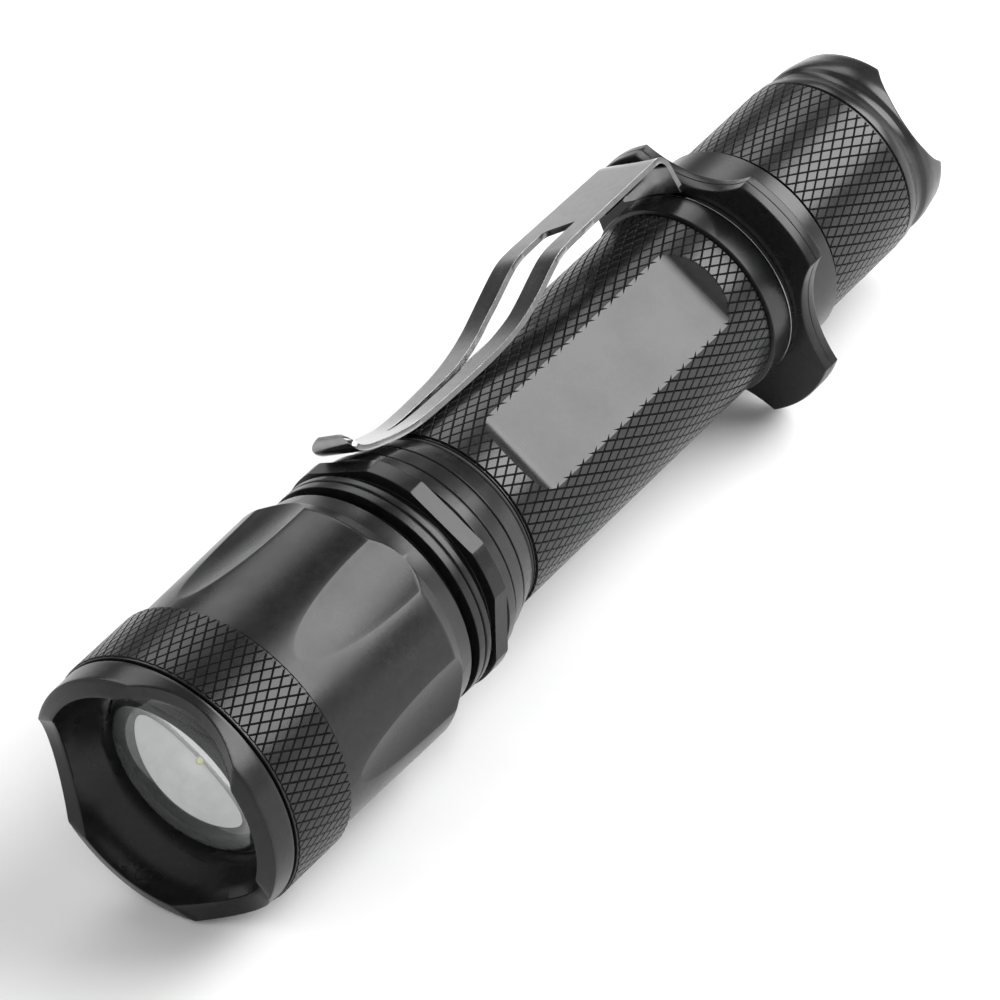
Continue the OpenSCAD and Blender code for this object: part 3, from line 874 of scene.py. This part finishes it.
def tailcap():
    """Tail cap: smooth collar, knurled grip and crown."""
    grip = knurl_rod("cap_grip", CAP_R, CAP_FRONT, CAP_REAR, TAIL_COUNT, offset=CAP_FRONT)
    cut_away(grip, rod("bore", CAP_BORE_R, 120, 150))
    collar = [(CAP_BORE_R, 118), (14.8, 118), (14.8, 124.4), (13.75, 124.4), (13.75, 125.18),
              (CAP_BORE_R, 125.18)]
    ends = add_object("cap_ends", mesh_of("cap_ends", turned(rounded(collar, 0.2)), tail_crown()))
    whole = join(grip, ends)
    whole.name = "tailcap_knurled"
    finish_piece(whole, knurl_anodising, "tailcap", ["tailcap_shell"], angle=32)


def boot():
    """Rubber boot: a clamped skirt and a dome that gives way when it is pressed."""
    skirt = [(12.25, 142.7), (12.25, 143.9), (8.3, 143.92), (8.28, 145.4), (8.1, 146.2), (7.75, 146.5),
             (7.4, 146.55), (7.15, 146.5), (7.05, 146.35)]
    dome = [(7.0, 146.6), (6.8, 146.85), (6.0, 147.15), (5.2, 147.4), (4.2, 147.62), (3.2, 147.8),
            (2.2, 147.92), (1.1, 147.98), (0.0, 148.0)]
    inner = [(0.0, 145.4), (5.6, 145.3), (6.4, 144.9), (6.9, 143.9), (7.2, 142.7)]
    shell = turned(skirt + dome + inner, 120)
    whole = piece("boot_moulded", [shell], rubber, None, ["boot_skirt", "rubber_boot"], angle=50)
    apply_modifiers(whole)
    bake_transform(whole)


# ---------- inside ----------


def coil(name, radii, wire, turns, start, end, material, body, replaced):
    """A round-wire compression spring whose radius runs from the first to the second of radii."""
    steps, sides = 28 * turns, 10
    dead = 0.5 / turns      # the end half-turns lie flat
    rings = []
    for i in range(steps + 1):
        t = i / steps
        angle = 360 * turns * t
        lift = min(max((t - dead) / (1 - 2 * dead), 0), 1)
        radius = radii[0] + (radii[1] - radii[0]) * t
        station = start + wire + (end - start - 2 * wire) * (0.06 * t + 0.94 * lift)
        ring = []
        for k in range(sides):
            turn = 2 * math.pi * k / sides
            ring.append(at(radius + wire * math.cos(turn), angle, station + wire * math.sin(turn)))
        rings.append(ring)
    piece(name, [loft(rings, closed=False)], material, body, [replaced], angle=60)


def inside_pieces():
    """Materials for the CAD nodes that stay as they are, and the two springs."""
    finishes = {
        "bezel_gasket": rubber, "focus_oring": rubber, "neck_oring": rubber, "tail_oring": rubber,
        "stop_ring": anodised, "led_pill": bare_metal, "led_star": white_board, "led_package": ceramic,
        "led_dome": phosphor, "centering_ring": white_plastic, "driver_board": green_board,
        "battery_sleeve": white_plastic, "battery_cell": cell_film, "battery_cap": nickel,
        "switch_retainer": brass, "switch_board": green_board, "switch_body": black_plastic,
        "boot_washer": white_plastic, "switch_plunger": white_plastic}
    for name, material in finishes.items():
        dress(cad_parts[name], material)
    coil("tail_coil", (4.6, 4.6), 0.45, 8, 117.9, 134.5, nickel, "tail_carrier", "tail_spring")
    coil("driver_coil", (4.2, 2.4), 0.3, 5, 45.4, 50.9, brass, "body", "driver_spring")


# ---------- floor, light and camera ----------


def floor():
    """A plain pale floor just under the flashlight."""
    bm = bmesh.new()
    bmesh.ops.create_circle(bm, cap_ends=True, segments=96, radius=4)
    ground = add_object("floor", mesh_from(bm, "floor"))
    ground.location.z = -0.2 * MM
    dress(ground, surface("pale_floor", (0.92, 0.92, 0.92), (0.95, 0.95, 0.95), (0.7, 0.8),
                          grain=40, grit=800, bump=0.02))


def softbox(name, direction, distance, size, power):
    """A soft area light that faces the flashlight from a direction."""
    data = bpy.data.lights.new(name, "AREA")
    data.shape = "RECTANGLE"
    data.size, data.size_y = size
    data.energy = power
    lamp = add_object(name, data)
    away = Vector(direction).normalized()
    lamp.location = Vector((0, 0, AXIS_Z)) + away * distance
    lamp.rotation_mode = "QUATERNION"
    lamp.rotation_quaternion = away.to_track_quat("Z", "Y")


def studio():
    """Two soft boxes with a dark gap overhead, a pale horizon all round and a pale side before the lens."""
    softbox("box_near", (-0.59, 0.54, 0.60), 0.8, (0.75, 0.5), 11)
    softbox("box_far", (-0.45, -0.60, 0.70), 0.8, (0.8, 0.35), 3)
    world = bpy.data.worlds.new("studio")
    bpy.context.scene.world = world
    add, link = node_tools(world)
    split = add("SeparateXYZ")
    link(add("TexCoord").outputs["Generated"], split.inputs[0])
    brighter = add("Math", operation="MAXIMUM")
    fades = (("Z", 0.2, 0.08), ("X", 0.1, 0.4))    # axis, where the world is dark along it, where white
    for i, (axis, dark_at, white_at) in enumerate(fades):
        fade = add("MapRange", From_Min=dark_at, From_Max=white_at, To_Min=0.08, To_Max=1.0)
        link(split.outputs[axis], fade.inputs["Value"])
        link(fade.outputs["Result"], brighter.inputs[i])
    back = add("Background")
    out = add("OutputWorld")
    link(brighter.outputs[0], back.inputs["Color"])
    link(back.outputs["Background"], out.inputs["Surface"])


CAMERA_AZIMUTH, CAMERA_ELEVATION, CAMERA_ROLL = 132.76, 37.07, -10.37
CAMERA_DISTANCE = 0.9434
CAMERA_AIM = (0.0054, -0.0006, 0.0152)
CAMERA_LENS, CAMERA_SENSOR = 261.4, 36


def camera():
    """A long lens that looks down on the flashlight from the front quarter."""
    data = bpy.data.cameras.new("camera")
    data.lens, data.sensor_width = CAMERA_LENS, CAMERA_SENSOR
    data.clip_start, data.clip_end = 0.05, 20
    eye = add_object("camera", data)
    a, e = math.radians(CAMERA_AZIMUTH), math.radians(CAMERA_ELEVATION)
    back = Vector((math.sin(a) * math.cos(e), -math.cos(a) * math.cos(e), math.sin(e)))
    eye.rotation_mode = "QUATERNION"
    roll = Quaternion((0, 0, 1), math.radians(CAMERA_ROLL))
    eye.rotation_quaternion = (-back).to_track_quat("-Z", "Y") @ roll
    eye.location = Vector(CAMERA_AIM) + back * CAMERA_DISTANCE
    bpy.context.scene.camera = eye


camera()
head()
bezel()
lens()
neck()
tube()
tactical_ring()
clip()
tailcap()
boot()
inside_pieces()
floor()
studio()
bpy.context.scene.view_settings.view_transform = "Standard"
